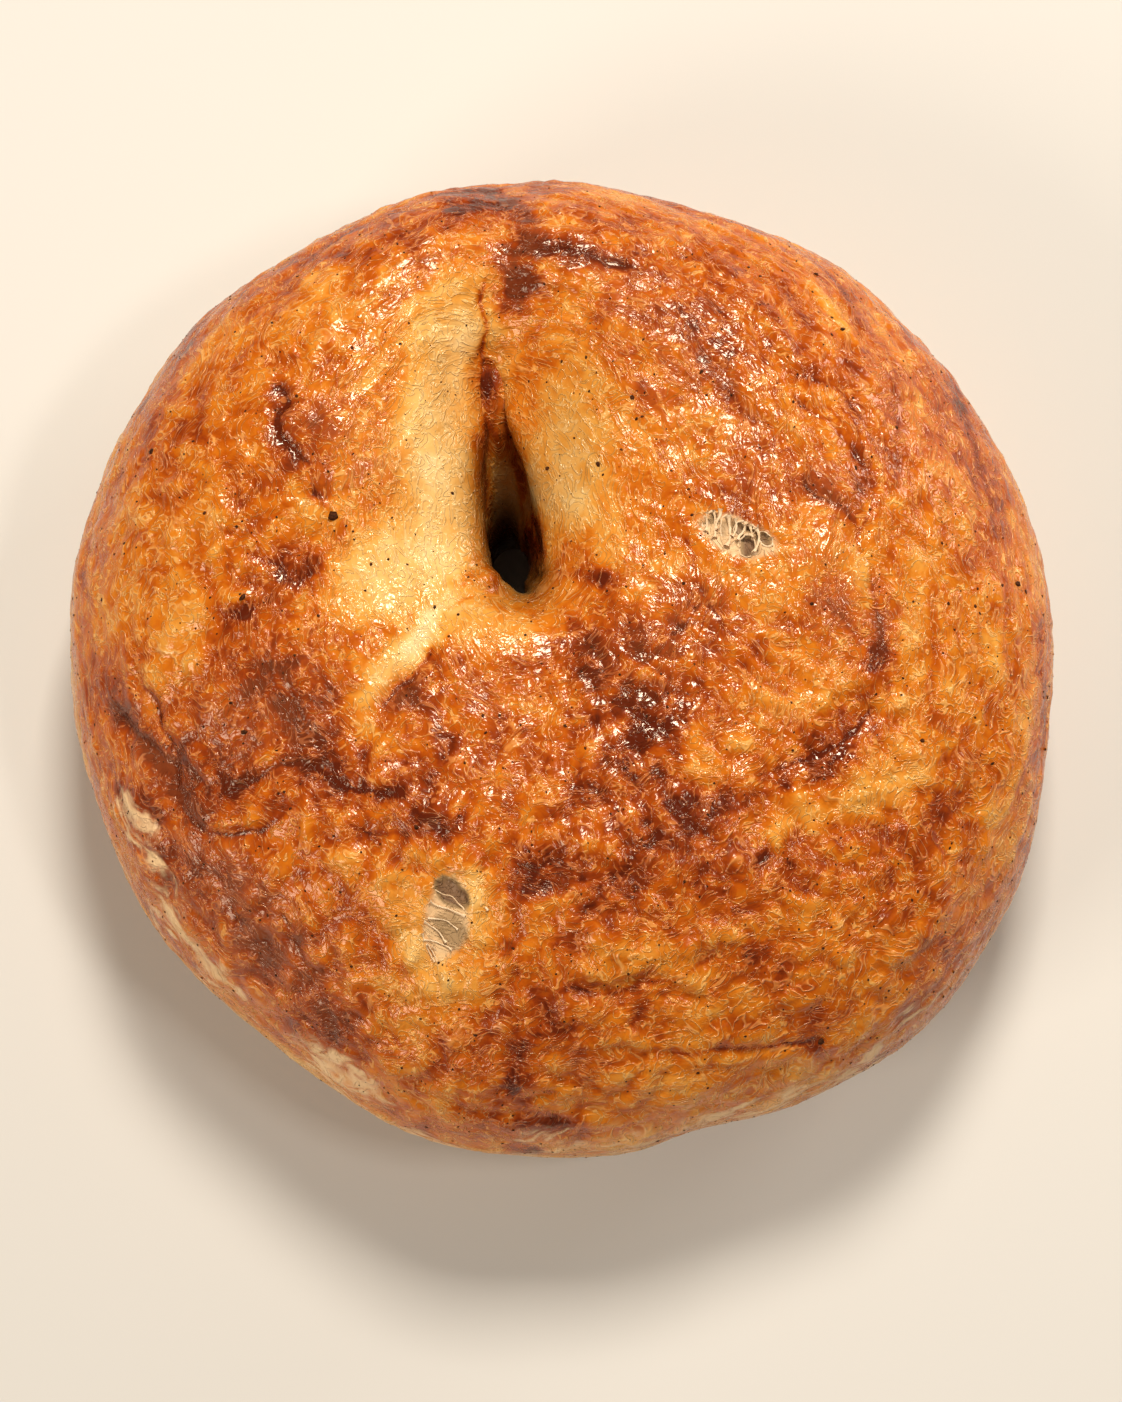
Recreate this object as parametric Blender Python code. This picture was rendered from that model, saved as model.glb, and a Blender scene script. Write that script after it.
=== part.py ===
"""A hand-rolled bagel with a nearly closed hole: one solid with a flat base, a plump uneven crown and a throat
that goes right through.

Its skin is a grid. One way the grid runs round the hole, by bearing. The other way it runs round the dough's
section, from the crown out over the rim, under the base, up the throat and back over the shoulder to the crown.
Metres, +Z up, origin at the centre of the footprint.
"""

import math

import bmesh
import bpy
import numpy as np
from mathutils import Vector, noise

MM = 0.001

# The grid
AROUND = 72  # steps of bearing round the hole
OUTER_STEPS = 9  # crown to girth
UNDER_STEPS = 5  # girth to base
BASE_STEPS = 4  # across the flat base
FLARE_STEPS = 2  # base to throat
THROAT_STEPS = 2  # up the throat
RAMP_STEPS = 5  # throat to the mouth of the slot
SHOULDER_STEPS = 7  # mouth to crown

# The rim, seen from above: a circle with swells and flats as (bearing in degrees, spread in degrees, push)
RIM_RADIUS = 55.7 * MM
RIM_SWELLS = (
    (52, 12, 0.7 * MM),
    (68, 16, -0.8 * MM),
    (97, 9, -0.3 * MM),
    (116, 18, 0.4 * MM),
    (150, 20, 1.0 * MM),
    (202, 20, -1.4 * MM),
    (233, 16, -2.2 * MM),
    (286, 8, -0.9 * MM),
    (298, 8, -0.4 * MM),
    (319, 20, 2.4 * MM),
    (346, 16, 0.7 * MM),
)

# Heights of the section
CROWN_HEIGHT = 39.5 * MM
CROWN_SWELLS = ((80, 45, -4.0 * MM), (300, 55, 1.5 * MM), (205, 30, -1.5 * MM))
GIRTH_HEIGHT = 16.0 * MM
MOUTH_HEIGHT = 29.0 * MM
MOUTH_SWELLS = ((92, 42, 2.5 * MM), (270, 40, 1.5 * MM))
THROAT_TOP = 13.0 * MM
THROAT_FOOT = 4.5 * MM

# The section's proportions
CROWN_SHARE = 0.42  # where the crown lies between the mouth and the rim
OUTER_FULLNESS = 0.95  # below 1 makes the outer side plumper than an ellipse
SHOULDER_FULLNESS = 0.92
UNDER_FULLNESS = 0.80
BASE_INSET = 12.0 * MM  # from the girth in to the edge of the base

# The slot: a tapering mouth that leans a little to the left and ends in the throat at its near end
MOUTH_MIDDLE = Vector((-5.9 * MM, 19.2 * MM))
MOUTH_HALF_LENGTH = 13.5 * MM
MOUTH_HALF_WIDTH = 2.8 * MM
MOUTH_TAPER = 0.7 * MM  # half-width lost at the far end and gained at the near one
MOUTH_BLUNTNESS = 0.7  # below 1 makes the ends blunter than an ellipse's
MOUTH_LEAN = math.radians(8.5)
THROAT_MIDDLE = Vector((-4.9 * MM, 11.8 * MM))
THROAT_HALF_WIDTH = 3.3 * MM
THROAT_HALF_LENGTH = 4.1 * MM
FLARE = 4.5 * MM  # how much wider the throat opens at the base

# The seam: a shallow valley over the crown, from the slot's far end to the rim
SEAM_START = Vector((-8.0 * MM, 32.0 * MM))
SEAM_END = Vector((-5.6 * MM, 56.0 * MM))
SEAM_HALF_WIDTH = 4.5 * MM
SEAM_DEPTH = 1.8 * MM

# The unevenness of hand-rolled dough
LUMP_SIZE = 15.0 * MM
LUMP_HEIGHT = 0.9 * MM
LUMP_FREE_BELOW = 2.0 * MM
LUMP_FULL_ABOVE = 12.0 * MM

CRUST_COLOUR = (0.62, 0.20, 0.035, 1.0)
CRUST_ROUGHNESS = 0.38


def clear_scene():
    for obj in list(bpy.data.objects):
        bpy.data.objects.remove(obj)


def swell(bearing, bumps):
    """The sum of smooth bumps, each (bearing, spread, push), at these bearings."""
    total = np.zeros_like(bearing)
    for centre, spread, push in bumps:
        away = (bearing - math.radians(centre) + math.pi) % (2 * math.pi) - math.pi
        total += push * np.exp(-((away / math.radians(spread)) ** 2))
    return total


def smooth_step(value, low, high):
    t = np.clip((value - low) / (high - low), 0, 1)
    return t * t * (3 - 2 * t)


def compass(bearing, radius):
    return np.stack([radius * np.cos(bearing), radius * np.sin(bearing)], -1)


def rim_outline(bearing):
    return compass(bearing, RIM_RADIUS + swell(bearing, RIM_SWELLS))


def base_outline(bearing):
    return compass(bearing, RIM_RADIUS + swell(bearing, RIM_SWELLS) - BASE_INSET)


def mouth_outline(bearing):
    """A long egg, narrow at its far end, turned by the lean."""
    half_width = MOUTH_HALF_WIDTH - MOUTH_TAPER * np.sin(bearing)
    side = np.cos(bearing)
    across = half_width * np.sign(side) * np.abs(side) ** MOUTH_BLUNTNESS
    along = MOUTH_HALF_LENGTH * np.sin(bearing)
    x = across * math.cos(MOUTH_LEAN) - along * math.sin(MOUTH_LEAN)
    y = across * math.sin(MOUTH_LEAN) + along * math.cos(MOUTH_LEAN)
    return np.stack([x, y], -1) + np.array(MOUTH_MIDDLE)


def throat_outline(bearing, wider=0.0):
    x = (THROAT_HALF_WIDTH + wider) * np.cos(bearing)
    y = (THROAT_HALF_LENGTH + wider) * np.sin(bearing)
    return np.stack([x, y], -1) + np.array(THROAT_MIDDLE)


def between(start, end, share):
    return start + (end - start) * share


def rings(bearing):
    """Each ring of the grid in turn, as (outline, height), both arrays over the bearings."""
    rim, mouth = rim_outline(bearing), mouth_outline(bearing)
    throat, base = throat_outline(bearing), base_outline(bearing)
    foot = throat_outline(bearing, FLARE)
    crown = between(mouth, rim, CROWN_SHARE)
    crown_z = CROWN_HEIGHT + swell(bearing, CROWN_SWELLS)
    mouth_z = MOUTH_HEIGHT + swell(bearing, MOUTH_SWELLS)
    flat = np.zeros_like(bearing)

    for step in range(OUTER_STEPS):
        turn = step / OUTER_STEPS * math.pi / 2
        yield (
            between(crown, rim, math.sin(turn)),
            between(GIRTH_HEIGHT, crown_z, math.cos(turn) ** OUTER_FULLNESS),
        )
    for step in range(UNDER_STEPS):
        turn = step / UNDER_STEPS * math.pi / 2
        yield (
            between(base, rim, math.cos(turn) ** UNDER_FULLNESS),
            flat + GIRTH_HEIGHT * (1 - math.sin(turn)),
        )
    for step in range(BASE_STEPS):
        yield between(base, foot, step / BASE_STEPS), flat
    for step in range(FLARE_STEPS):
        turn = step / FLARE_STEPS * math.pi / 2
        yield between(foot, throat, math.sin(turn)), flat + THROAT_FOOT * (1 - math.cos(turn))
    for step in range(THROAT_STEPS):
        yield throat, flat + between(THROAT_FOOT, THROAT_TOP, step / THROAT_STEPS)
    for step in range(RAMP_STEPS):
        rise = step / RAMP_STEPS
        yield between(throat, mouth, 1 - (1 - rise) ** 0.8), between(THROAT_TOP, mouth_z, 1 - (1 - rise) ** 1.5)
    for step in range(SHOULDER_STEPS):
        turn = step / SHOULDER_STEPS * math.pi / 2
        yield (
            between(mouth, crown, 1 - math.cos(turn)),
            between(mouth_z, crown_z, math.sin(turn) ** SHOULDER_FULLNESS),
        )


def seam_drop(x, y):
    """How far the seam's valley lowers the top at these places."""
    start, way = np.array(SEAM_START), np.array(SEAM_END - SEAM_START)
    share = ((x - start[0]) * way[0] + (y - start[1]) * way[1]) / way.dot(way)
    nearest = np.clip(share, -0.1, 1)
    away = np.hypot(x - start[0] - nearest * way[0], y - start[1] - nearest * way[1])
    return SEAM_DEPTH * np.exp(-((away / SEAM_HALF_WIDTH) ** 2))


def skin_points():
    """The grid's points as an array of rings, bearings and coordinates, with the seam and the lumps in it."""
    bearing = np.arange(AROUND) * 2 * math.pi / AROUND
    grid = np.stack([np.concatenate([outline, height[:, None]], 1) for outline, height in rings(bearing)])
    top = smooth_step(grid[..., 2], GIRTH_HEIGHT, MOUTH_HEIGHT)
    grid[..., 2] -= seam_drop(grid[..., 0], grid[..., 1]) * top

    round_hole = np.roll(grid, -1, 1) - np.roll(grid, 1, 1)
    round_section = np.roll(grid, -1, 0) - np.roll(grid, 1, 0)
    outward = np.cross(round_section, round_hole)
    outward /= np.linalg.norm(outward, axis=-1, keepdims=True)
    lump = np.array([noise.noise(Vector(point) / LUMP_SIZE) for point in grid.reshape(-1, 3)])
    lump = lump.reshape(grid.shape[:2]) * smooth_step(grid[..., 2], LUMP_FREE_BELOW, LUMP_FULL_ABOVE)
    grid += outward * (LUMP_HEIGHT * lump)[..., None]

    middle = (grid.min((0, 1)) + grid.max((0, 1))) / 2
    grid[..., :2] -= middle[:2]
    return grid


def crust_material():
    material = bpy.data.materials.new("baked_crust")
    material.use_nodes = True
    shader = material.node_tree.nodes["Principled BSDF"]
    shader.inputs["Base Color"].default_value = CRUST_COLOUR
    shader.inputs["Roughness"].default_value = CRUST_ROUGHNESS
    return material


def make_bagel():
    grid = skin_points()
    ring_count = len(grid)
    mesh_in_hand = bmesh.new()
    points = [[mesh_in_hand.verts.new(point) for point in ring] for ring in grid]
    for ring in range(ring_count):
        for step in range(AROUND):
            beside = (step + 1) % AROUND
            below = (ring + 1) % ring_count
            mesh_in_hand.faces.new(
                (points[ring][step], points[below][step], points[below][beside], points[ring][beside])
            )
    bmesh.ops.recalc_face_normals(mesh_in_hand, faces=mesh_in_hand.faces)
    mesh = bpy.data.meshes.new("bagel")
    mesh_in_hand.to_mesh(mesh)
    mesh_in_hand.free()
    mesh.materials.append(crust_material())
    mesh.shade_smooth()
    bagel = bpy.data.objects.new("bagel", mesh)
    bpy.context.scene.collection.objects.link(bagel)
    return bagel


clear_scene()
make_bagel()
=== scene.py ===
"""The looks of a hand-rolled bagel: a mottled, wrinkled crust with a slot, creases, torn bubbles and specks.

The crust is one fine grid over the form that the frame holds. Each marking on its top is placed on the
chart, a flat map of the top in millimetres as the camera sees it: x to the right, y away from the camera,
zero at the middle of the bagel. Numpy works the markings out at every point of the grid, as relief in the
mesh and as named fields that the crust's material reads. Lengths are in metres unless a name or a comment
says millimetres.
"""

import math
from collections import namedtuple

import bmesh
import bpy
import numpy as np
from mathutils import Matrix, Vector, noise
from mathutils.kdtree import KDTree


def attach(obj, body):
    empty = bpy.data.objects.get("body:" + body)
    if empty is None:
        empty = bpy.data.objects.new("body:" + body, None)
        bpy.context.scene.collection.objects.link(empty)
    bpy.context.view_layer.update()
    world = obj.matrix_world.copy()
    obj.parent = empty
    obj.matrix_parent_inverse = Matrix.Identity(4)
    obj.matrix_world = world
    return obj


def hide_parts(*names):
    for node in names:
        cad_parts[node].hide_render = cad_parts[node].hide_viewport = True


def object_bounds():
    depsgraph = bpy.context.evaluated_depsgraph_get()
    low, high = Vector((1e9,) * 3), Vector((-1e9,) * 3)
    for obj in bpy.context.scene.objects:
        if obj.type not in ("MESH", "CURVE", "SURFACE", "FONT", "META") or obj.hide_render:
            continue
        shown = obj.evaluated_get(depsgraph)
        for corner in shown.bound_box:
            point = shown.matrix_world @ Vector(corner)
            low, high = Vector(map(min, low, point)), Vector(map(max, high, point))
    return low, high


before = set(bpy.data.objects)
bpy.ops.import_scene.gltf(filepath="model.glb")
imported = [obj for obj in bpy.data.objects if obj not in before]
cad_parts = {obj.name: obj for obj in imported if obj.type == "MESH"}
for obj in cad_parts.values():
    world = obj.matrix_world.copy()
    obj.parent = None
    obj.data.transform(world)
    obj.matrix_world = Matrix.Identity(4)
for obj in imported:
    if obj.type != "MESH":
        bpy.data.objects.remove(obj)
cad_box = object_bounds()

MM = 0.001

# The camera, and the chart that it gives

SIGHT = math.radians(82)  # how steeply the camera looks down
REACH = 442.4 * MM  # from the camera to the middle of the view
AIM = Vector((0, -4.0 * MM, 16.0 * MM))
CHART_RISE = 3.5  # millimetres from the middle of the view up to the chart's zero
LENS = 100.0
SENSOR = 36.0
TO_CAMERA = Vector((0, -math.cos(SIGHT), math.sin(SIGHT)))
VIEW_UP = Vector((0, math.sin(SIGHT), math.cos(SIGHT)))


def chart(points):
    """Where the camera sees these points, as chart x and y in millimetres."""
    away = points - np.array(AIM + TO_CAMERA * REACH)
    scale = REACH / MM / -(away @ np.array(TO_CAMERA))
    return away[..., 0] * scale, away @ np.array(VIEW_UP) * scale - CHART_RISE


def place_camera():
    lens = bpy.data.cameras.new("camera")
    lens.lens = LENS
    lens.sensor_width = SENSOR
    camera = bpy.data.objects.new("camera", lens)
    camera.location = AIM + TO_CAMERA * REACH
    camera.rotation_euler = TO_CAMERA.to_track_quat("Z", "Y").to_euler()
    bpy.context.scene.collection.objects.link(camera)
    bpy.context.scene.camera = camera


# The dough's form: the frame's own rules, on a finer grid

AROUND = 560  # steps of bearing round the hole
OUTER_STEPS = 78  # crown to girth
UNDER_STEPS = 16  # girth to base
BASE_STEPS = 6  # across the flat base
FLARE_STEPS = 5  # base to throat
THROAT_STEPS = 5  # up the throat
RAMP_STEPS = 20  # throat to the mouth of the slot
SHOULDER_STEPS = 47  # mouth to crown
INNER_RINGS_FROM = OUTER_STEPS + UNDER_STEPS + BASE_STEPS  # from this ring on the skin is measured inward
RAMP_FROM = INNER_RINGS_FROM + FLARE_STEPS + THROAT_STEPS
SHOULDER_FROM = RAMP_FROM + RAMP_STEPS

RIM_RADIUS = 55.7 * MM
RIM_SWELLS = (  # bearing in degrees, spread in degrees, push
    (52, 12, 0.7 * MM),
    (68, 16, -0.8 * MM),
    (97, 9, -0.3 * MM),
    (116, 18, 0.4 * MM),
    (150, 20, 1.0 * MM),
    (202, 20, -1.4 * MM),
    (233, 16, -2.2 * MM),
    (286, 8, -0.9 * MM),
    (298, 8, -0.4 * MM),
    (319, 20, 2.4 * MM),
    (346, 16, 0.7 * MM),
)
CROWN_HEIGHT = 39.5 * MM
CROWN_SWELLS = ((80, 45, -4.0 * MM), (300, 55, 1.5 * MM), (205, 30, -1.5 * MM))
GIRTH_HEIGHT = 16.0 * MM
MOUTH_HEIGHT = 29.0 * MM
MOUTH_SWELLS = ((92, 42, 2.5 * MM), (270, 40, 1.5 * MM))
THROAT_TOP = 13.0 * MM
THROAT_FOOT = 4.5 * MM
CROWN_SHARE = 0.42  # where the crown lies between the mouth and the rim
# Powers that bend the section away from an ellipse or a straight slope
OUTER_FULLNESS = 0.95
SHOULDER_FULLNESS = 0.92
UNDER_FULLNESS = 0.80
RAMP_SWING = 0.8
RAMP_RISE = 1.5
BASE_INSET = 12.0 * MM
MOUTH_MIDDLE = np.array((-5.9 * MM, 19.2 * MM))
MOUTH_HALF_LENGTH = 13.5 * MM
MOUTH_HALF_WIDTH = 2.8 * MM
MOUTH_TAPER = 0.7 * MM
MOUTH_BLUNTNESS = 0.7
MOUTH_LEAN = math.radians(8.5)
THROAT_MIDDLE = np.array((-4.9 * MM, 11.8 * MM))
THROAT_HALF_WIDTH = 3.3 * MM
THROAT_HALF_LENGTH = 4.1 * MM
FLARE = 4.5 * MM
SEAM_START = np.array((-8.0 * MM, 32.0 * MM))
SEAM_END = np.array((-5.6 * MM, 56.0 * MM))
SEAM_HALF_WIDTH = 4.5 * MM
SEAM_DEPTH = 1.8 * MM
LUMP_SIZE = 15.0 * MM
LUMP_HEIGHT = 0.9 * MM
LUMP_FREE_BELOW = 2.0 * MM
LUMP_FULL_ABOVE = 12.0 * MM


def hump(away, power=2):
    """1 where away is 0, falling to 0 on both sides."""
    return np.exp(-(np.abs(away) ** power))


def smooth_step(value, low, high):
    """0 at low and before it, 1 at high and past it. It falls where low is above high."""
    t = np.clip((value - low) / (high - low), 0, 1)
    return t * t * (3 - 2 * t)


def band(value, rise_from, rise_to, fall_from, fall_to):
    return smooth_step(value, rise_from, rise_to) * (1 - smooth_step(value, fall_from, fall_to))


def between(start, end, share):
    return start + (end - start) * share


def swell(bearing, bumps):
    total = np.zeros_like(bearing)
    for centre, spread, push in bumps:
        away = (bearing - math.radians(centre) + math.pi) % math.tau - math.pi
        total += push * hump(away / math.radians(spread))
    return total


def compass(bearing, radius):
    return np.stack([radius * np.cos(bearing), radius * np.sin(bearing)], -1)


def mouth_outline(bearing):
    half_width = MOUTH_HALF_WIDTH - MOUTH_TAPER * np.sin(bearing)
    side = np.cos(bearing)
    across = half_width * np.sign(side) * np.abs(side) ** MOUTH_BLUNTNESS
    along = MOUTH_HALF_LENGTH * np.sin(bearing)
    x = across * math.cos(MOUTH_LEAN) - along * math.sin(MOUTH_LEAN)
    y = across * math.sin(MOUTH_LEAN) + along * math.cos(MOUTH_LEAN)
    return np.stack([x, y], -1) + MOUTH_MIDDLE


def throat_outline(bearing, wider=0.0):
    x = (THROAT_HALF_WIDTH + wider) * np.cos(bearing)
    y = (THROAT_HALF_LENGTH + wider) * np.sin(bearing)
    return np.stack([x, y], -1) + THROAT_MIDDLE


def quarter_turn(steps):
    """The angles of a quarter turn in this many steps, from zero and without its end."""
    return [step / steps * math.pi / 2 for step in range(steps)]


def rings(bearing):
    """Each ring of the grid in turn, as (outline, height), both arrays over the bearings."""
    rim_radius = RIM_RADIUS + swell(bearing, RIM_SWELLS)
    rim, base = compass(bearing, rim_radius), compass(bearing, rim_radius - BASE_INSET)
    mouth, throat = mouth_outline(bearing), throat_outline(bearing)
    foot = throat_outline(bearing, FLARE)
    crown = between(mouth, rim, CROWN_SHARE)
    crown_z = CROWN_HEIGHT + swell(bearing, CROWN_SWELLS)
    mouth_z = MOUTH_HEIGHT + swell(bearing, MOUTH_SWELLS)
    flat = np.zeros_like(bearing)

    for turn in quarter_turn(OUTER_STEPS):
        height = between(GIRTH_HEIGHT, crown_z, math.cos(turn) ** OUTER_FULLNESS)
        yield between(crown, rim, math.sin(turn)), height
    for turn in quarter_turn(UNDER_STEPS):
        height = flat + GIRTH_HEIGHT * (1 - math.sin(turn))
        yield between(base, rim, math.cos(turn) ** UNDER_FULLNESS), height
    for step in range(BASE_STEPS):
        yield between(base, foot, step / BASE_STEPS), flat
    for turn in quarter_turn(FLARE_STEPS):
        yield between(foot, throat, math.sin(turn)), flat + THROAT_FOOT * (1 - math.cos(turn))
    for step in range(THROAT_STEPS):
        yield throat, flat + between(THROAT_FOOT, THROAT_TOP, step / THROAT_STEPS)
    for step in range(RAMP_STEPS):
        left = 1 - step / RAMP_STEPS
        height = between(THROAT_TOP, mouth_z, 1 - left**RAMP_RISE)
        yield between(throat, mouth, 1 - left**RAMP_SWING), height
    for turn in quarter_turn(SHOULDER_STEPS):
        height = between(mouth_z, crown_z, math.sin(turn) ** SHOULDER_FULLNESS)
        yield between(mouth, crown, 1 - math.cos(turn)), height


def seam_drop(x, y):
    way = SEAM_END - SEAM_START
    share = ((x - SEAM_START[0]) * way[0] + (y - SEAM_START[1]) * way[1]) / way.dot(way)
    nearest = np.clip(share, -0.1, 1)
    away = np.hypot(x - SEAM_START[0] - nearest * way[0], y - SEAM_START[1] - nearest * way[1])
    return SEAM_DEPTH * hump(away / SEAM_HALF_WIDTH)


def outward(grid):
    """The unit normals of a grid that closes on itself both ways."""
    round_hole = np.roll(grid, -1, 1) - np.roll(grid, 1, 1)
    round_section = np.roll(grid, -1, 0) - np.roll(grid, 1, 0)
    normal = np.cross(round_section, round_hole)
    return normal / np.linalg.norm(normal, axis=-1, keepdims=True)


def noise_over(points, size, seed=0):
    """Smooth noise, about -1 to 1, with features of this size. Each seed gives another pattern."""
    shift = Vector((17.3, 5.1, 9.7)) * seed
    values = [noise.noise(Vector(point) + shift) for point in points.reshape(-1, 3) / size]
    return np.array(values).reshape(points.shape[:-1])


def dough_form():
    """The grid's points, by ring and bearing, with the seam and the large lumps of the frame's solid."""
    bearing = np.arange(AROUND) * math.tau / AROUND
    sections = [np.concatenate([outline, height[:, None]], 1) for outline, height in rings(bearing)]
    grid = np.stack(sections)
    top = smooth_step(grid[..., 2], GIRTH_HEIGHT, MOUTH_HEIGHT)
    grid[..., 2] -= seam_drop(grid[..., 0], grid[..., 1]) * top
    lump = noise_over(grid, LUMP_SIZE) * smooth_step(grid[..., 2], LUMP_FREE_BELOW, LUMP_FULL_ABOVE)
    grid += outward(grid) * (LUMP_HEIGHT * lump)[..., None]
    low, high = cad_box
    middle = (grid.min((0, 1)) + grid.max((0, 1))) / 2
    grid[..., :2] += (np.array(low + high) / 2 - middle)[:2]
    return grid


# Markings on the chart, in millimetres

# A crease: its half-width, depth and darkness (browner crust and painted shade in the fold), the lip raised
# beside it, and the points it runs through
Crease = namedtuple("Crease", "width depth dark lip points")
# A patch: its middle, its half-length and half-width, the turn of its length in degrees, and its amount
Patch = namedtuple("Patch", "x y long wide turn amount")


def rows_of(kind, *rows):
    """Plain rows of numbers as things of this kind."""
    return tuple(kind(*row) for row in rows)


CREASES = rows_of(
    Crease,
    # the hook on the upper left
    (0.5, 0.75, 0.75, 0.3,
     ((-33.3, 30.9), (-32, 32), (-31, 30.9), (-32.4, 28.5), (-31.8, 26.9), (-30.8, 25.6))),
    (0.5, 0.6, 0.7, 0.2,
     ((-31.8, 26.9), (-30.8, 25.6), (-29.3, 24.3), (-28.4, 23.2), (-28.1, 20.4), (-25.9, 17.6))),
    (1.6, 0.5, 0.08, 0, ((-25.9, 17.6), (-28.3, 15.7), (-30.8, 14.2), (-33.3, 10.8), (-35.9, 8))),
    # folds off the seam
    (0.4, 0.45, 0.45, 0.2, ((-3.5, 47.6), (-0.3, 47.6), (2.7, 47), (6.2, 46), (8, 45.4))),
    (0.7, 0.5, 0.2, 0.3, ((9, 46.3), (14.5, 47), (17.2, 44.8), (19.8, 41.5), (22.6, 38.5), (24.6, 34.6))),
    (0.5, 0.35, 0.3, 0.2, ((17.2, 42), (20.9, 38.6), (23.5, 34.3), (25.2, 28.4), (27.3, 21.6))),
    (0.35, 0.35, 0.9, 0.1, ((-9.2, 34), (-8.8, 36.6), (-8.4, 39.4), (-8.9, 42), (-8.3, 45))),
    # the long arcs on the right
    (0.5, 0.4, 0.5, 0.2, ((29.4, 31.2), (32.5, 27.3), (35.2, 22.7), (36.2, 19.3))),
    (0.5, 0.4, 0.3, 0.3,
     ((14.7, 38.6), (17.7, 34.9), (19.8, 31.2), (22.6, 28.4), (25.9, 26.6), (26.8, 22.9))),
    (0.6, 0.5, 0.55, 0.3, ((26.8, 22.9), (28.6, 20.1), (32.3, 18.2), (34.4, 15.4), (35.1, 11.7))),
    (0.5, 0.4, 0.45, 0.3,
     ((25.9, 32.6), (28.6, 29.3), (31.4, 27.5), (34.2, 24.3), (36.5, 21), (38.4, 19.2))),
    (0.6, 0.4, 0.35, 0.3,
     ((22.1, 38.6), (24.9, 34.9), (28.6, 33.5), (32.3, 30.7), (35.1, 27), (39.3, 23.3))),
    (0.45, 0.55, 0.5, 0.25,
     ((32.7, 26.1), (33.7, 24.4), (35.7, 20.4), (34.3, 15.4), (35.2, 12.4), (35.4, 9.3), (36.3, 5.5),
      (36.8, 2.4), (36.1, 0))),
    (0.8, 0.8, 0.55, 0.45,
     ((36.2, -3.7), (34.9, -5.2), (32.1, -8.3), (29.1, -9.8), (25.8, -10.5), (21.5, -11.9))),
    # the forked crack right of the hole
    (0.35, 0.25, 0.35, 0.1, ((14.8, 16.1), (15, 12.4), (15.8, 9.4), (16.1, 8.2))),
    (0.6, 0.45, 0.6, 0.1, ((16.1, 8.2), (14.2, 5.7), (12, 3.6))),
    (0.45, 0.35, 0.6, 0.1, ((15.8, 9.4), (16.9, 7.3), (18.4, 4.8))),
    # the folds on the left
    (0.55, 0.8, 0.7, 0.4, ((-51.6, -3), (-48.6, -6.7), (-45.3, -9.4), (-43.6, -12.7), (-41.6, -16.6))),
    (0.5, 0.7, 0.6, 0.4, ((-48.6, 0.5), (-46.5, -3.5), (-44.6, -7.5), (-41.9, -11.7), (-38.4, -14.4))),
    (0.45, 0.65, 0.75, 0.4,
     ((-39.6, -14.8), (-36.6, -13.4), (-34.2, -11.6), (-31.9, -10.3), (-28.6, -11), (-24.5, -13.2),
      (-19.4, -13.9), (-17.8, -13.9))),
    (0.45, 0.55, 0.65, 0.35,
     ((-45, -12.5), (-43.8, -14.3), (-42.4, -16.7), (-40.2, -18.6), (-37.7, -19), (-34.4, -18.6),
      (-32.9, -17.7), (-29.9, -15.8))),
    # crumbly smears below the middle
    (0.7, 0.4, 0.45, 0.2, ((-24.4, -17), (-22.6, -18.3), (-20.1, -18.7), (-16.8, -18.6))),
    (0.7, 0.45, 0.45, 0.2, ((-6.6, -21.4), (-3.9, -22.3), (-1.4, -21.4), (0.7, -20.9))),
    (0.9, 0.4, 0.2, 0.1, ((-2.4, -23.3), (0, -26.2), (1.2, -27.8))),
    # the lower right
    (0.9, 0.55, 0.45, 0.4,
     ((-1, -36.3), (4.9, -36.8), (9.4, -35.7), (12.8, -34.9), (16.4, -33.2), (18.1, -32.1))),
    (0.3, 0.3, 0.5, 0.1, ((10.8, -43.6), (18.1, -43.1), (23.3, -42.6), (28.5, -42.3), (29.6, -41.7))),
    # the pleat beside the hole, and the bulge below it
    (0.6, 0.8, 0.75, 0.4, ((-14.2, 3.4), (-14.9, 1.7), (-17.2, -0.6), (-19.2, -2.5), (-20.8, -4.8))),
    (0.35, 0.35, 0.35, 0.1, ((-13.7, 3.4), (-13.3, 6), (-11.8, 7.6), (-9.8, 8.5))),
)
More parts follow.
